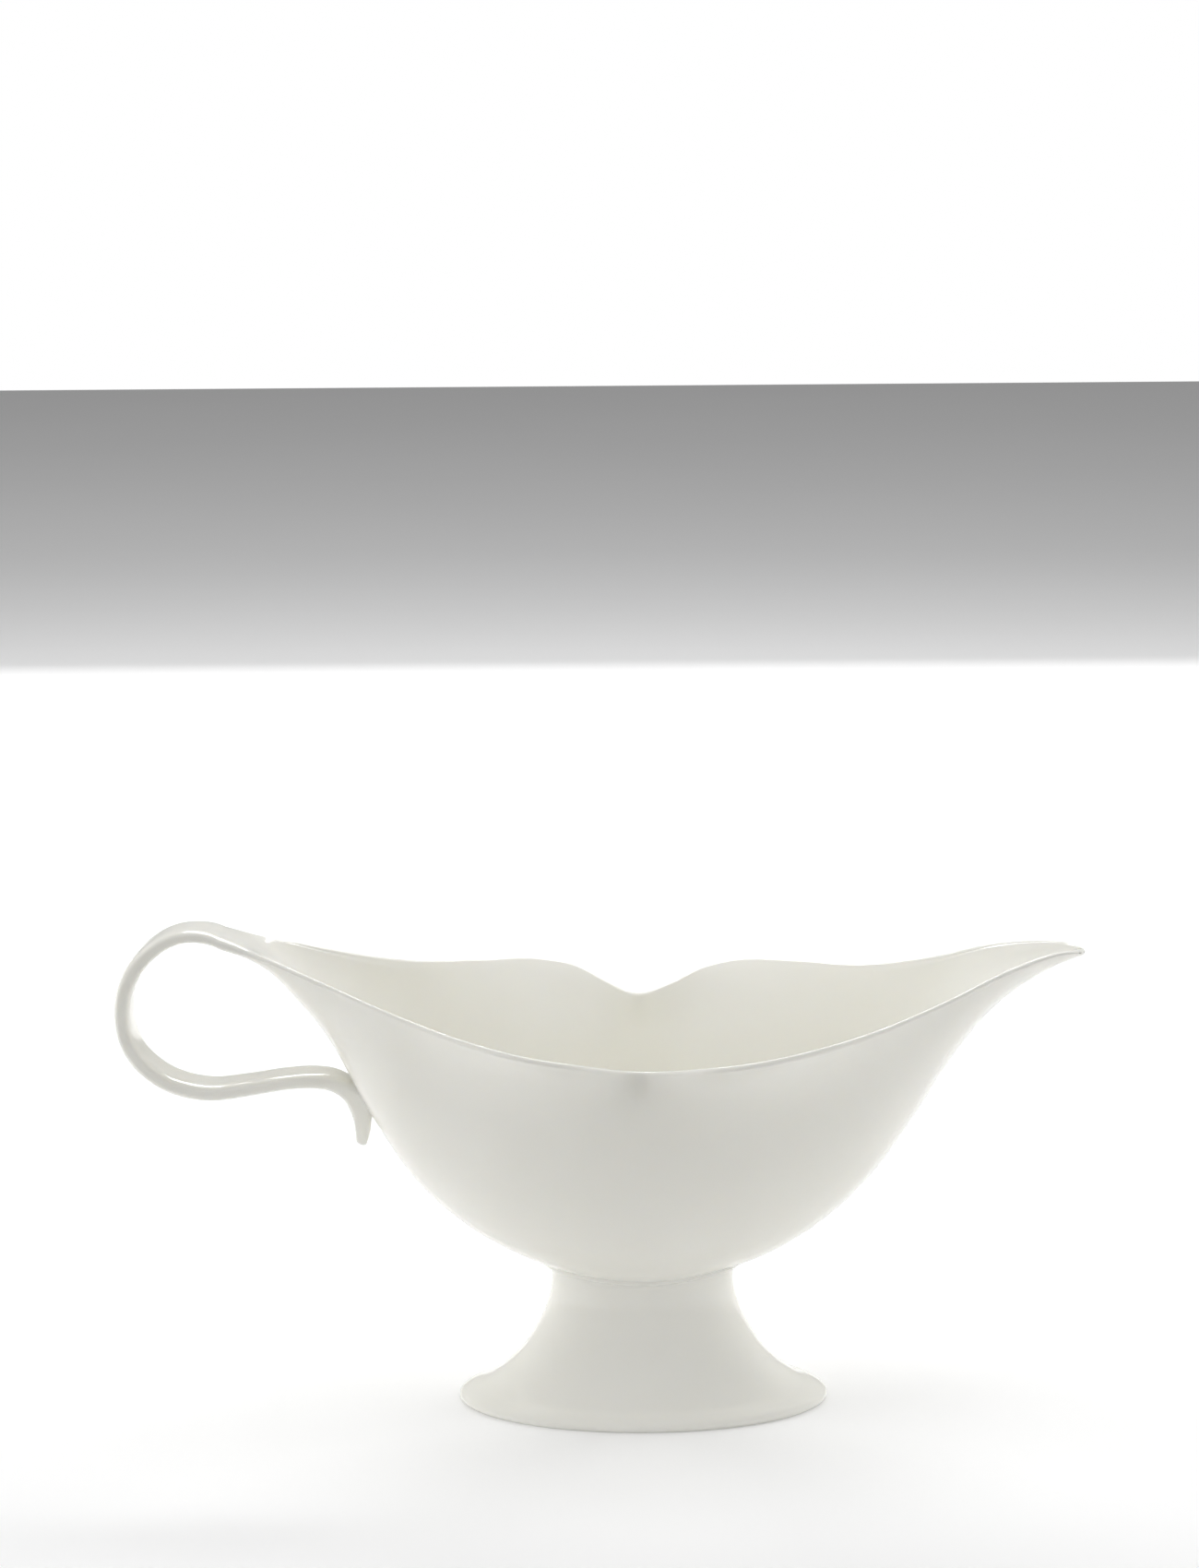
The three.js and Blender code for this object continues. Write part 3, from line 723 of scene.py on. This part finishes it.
# Soft light from all round: direction towards it and strength
SOFT_LIGHT = [
    ((0, -1, 0.15), 0.39),
    ((0, -1, 1), 0.68),
    ((0, 1, 0.2), 0.20),
    ((-1, 1, 0.3), 0.15),
    ((1, 1, 0.3), 0.15),
]
LIGHT_FOCUS = 4.0                 # how fast each falls off around its direction
LIGHT_AIM = (0, 0, 0.06)          # place that every softbox faces
FLOOR_REACH = 3.0                 # how far the floor runs to the sides and behind
FLOOR_FRONT = 0.27                # how far it runs in front, to just below the picture
CAMERA_DISTANCE = 0.930           # from the foot's centre
CAMERA_RISE = 21.5                # the camera's angles, in degrees; this one is above the floor
CAMERA_YAW = 0.6698
CAMERA_TILT = 11.5563
CAMERA_ROLL = -0.5
LENS = 80
SENSOR_WIDTH = 36


def build_floor():
    """Plain floor to the sides and behind."""
    reach = FLOOR_REACH
    front = -FLOOR_FRONT
    points = np.array([(-reach, front, 0), (reach, front, 0), (reach, reach, 0), (-reach, reach, 0)])
    floor = make_object("studio_floor", points, [[0, 1, 2, 3]])
    floor.data.materials.append(floor_material())


def build_world():
    """Soft light from a few wide directions. The camera itself sees plain white."""
    world = bpy.data.worlds.new("studio")
    bpy.context.scene.world = world
    world.use_nodes = True
    tree = world.node_tree
    tree.nodes.clear()
    direction = node(tree, "ShaderNodeTexCoord").outputs["Generated"]
    level = None
    for towards, strength in SOFT_LIGHT:
        share = node(tree, "ShaderNodeVectorMath", {0: direction, 1: Vector(towards).normalized()},
                     operation="DOT_PRODUCT").outputs["Value"]
        share = node(tree, "ShaderNodeMath", {0: share, 1: 0.0}, operation="MAXIMUM").outputs[0]
        share = node(tree, "ShaderNodeMath", {0: share, 1: LIGHT_FOCUS}, operation="POWER").outputs[0]
        share = node(tree, "ShaderNodeMath", {0: share, 1: strength}, operation="MULTIPLY").outputs[0]
        if level is not None:
            share = node(tree, "ShaderNodeMath", {0: share, 1: level}, operation="ADD").outputs[0]
        level = share
    around = node(tree, "ShaderNodeBackground", {"Color": (1, 1, 1, 1), "Strength": level})
    seen = node(tree, "ShaderNodeBackground", {"Color": (1, 1, 1, 1), "Strength": 1.0})
    camera_ray = node(tree, "ShaderNodeLightPath").outputs["Is Camera Ray"]
    mixed = node(tree, "ShaderNodeMixShader", {
        0: camera_ray, 1: around.outputs["Background"], 2: seen.outputs["Background"],
    })
    out = node(tree, "ShaderNodeOutputWorld")
    tree.links.new(mixed.outputs["Shader"], out.inputs["Surface"])


def softbox(name, place, size, power, lights=True, mirrored=False):
    """Rectangular light aimed at the boat, which the camera doesn't see.

    It lights surfaces, or is mirrored in the glaze, or both.
    """
    data = bpy.data.lights.new(name, "AREA")
    data.shape = "RECTANGLE"
    data.size = size[0]
    data.size_y = size[1]
    data.energy = power
    light = bpy.data.objects.new(name, data)
    bpy.context.scene.collection.objects.link(light)
    light.location = place
    light.rotation_euler = (Vector(LIGHT_AIM) - Vector(place)).to_track_quat("-Z", "Y").to_euler()
    light.visible_camera = False
    light.visible_diffuse = lights
    light.visible_glossy = mirrored


def build_lights():
    """Softboxes all round, and a strip that only the glaze mirrors, which draws the bright lines."""
    softbox("backdrop", (0.0, 1.1, 0.3), (1.6, 0.5), 2.7)
    softbox("back_left", (-0.9, 0.6, 0.5), (0.5, 0.8), 2.2)
    softbox("back_right", (0.9, 0.6, 0.5), (0.5, 0.8), 3.7)
    softbox("side_left", (-1.8, 0.0, 0.7), (1.2, 1.2), 14.5)
    softbox("side_right", (1.8, 0.0, 0.7), (1.2, 1.2), 9.4)
    softbox("overhead", (0.0, 0.0, 2.0), (1.5, 1.5), 12.5)
    softbox("back_top", (0.0, 0.8, 0.85), (0.8, 0.12), 3.2)
    softbox("rim_line", (0.0, 0.8, 0.85), (0.7, 0.22), 11.0, lights=False, mirrored=True)


def build_camera():
    """Camera at the height and distance that show the boat from its side, a little from above."""
    data = bpy.data.cameras.new("camera")
    data.lens = LENS
    data.sensor_width = SENSOR_WIDTH
    camera = bpy.data.objects.new("camera", data)
    bpy.context.scene.collection.objects.link(camera)
    rise = math.radians(CAMERA_RISE)
    camera.location = (
        FOOT_CENTRE * MM,
        -CAMERA_DISTANCE * math.cos(rise),
        CAMERA_DISTANCE * math.sin(rise),
    )
    yaw = Matrix.Rotation(math.radians(CAMERA_YAW), 3, "Z")
    pitch = Matrix.Rotation(math.radians(90 - CAMERA_TILT), 3, "X")
    roll = Matrix.Rotation(math.radians(CAMERA_ROLL), 3, "Z")
    camera.rotation_euler = (yaw @ pitch @ roll).to_euler()
    bpy.context.scene.camera = camera


# ---- Build ----
glaze = glazed_porcelain()
bare = bare_porcelain()
bowl_piece, handle_piece, bowl_tree = build_bowl_and_handle()
foot_piece, ring_piece = build_foot(bowl_tree)
for piece, nodes, material, slot_name in (
    (bowl_piece, ("bowl",), glaze, "glazed_porcelain"),
    (handle_piece, ("handle", "handle_slip_joint"), glaze, "glazed_porcelain"),
    (foot_piece, ("pedestal_foot", "foot_slip_joint"), glaze, "glazed_porcelain"),
    (ring_piece, ("pedestal_foot",), bare, "bare_porcelain"),
):
    piece.data.materials.append(material)
    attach(piece, "root")
    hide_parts(*nodes)

build_floor()
build_world()
build_lights()
build_camera()
bpy.context.scene.view_settings.view_transform = "Standard"
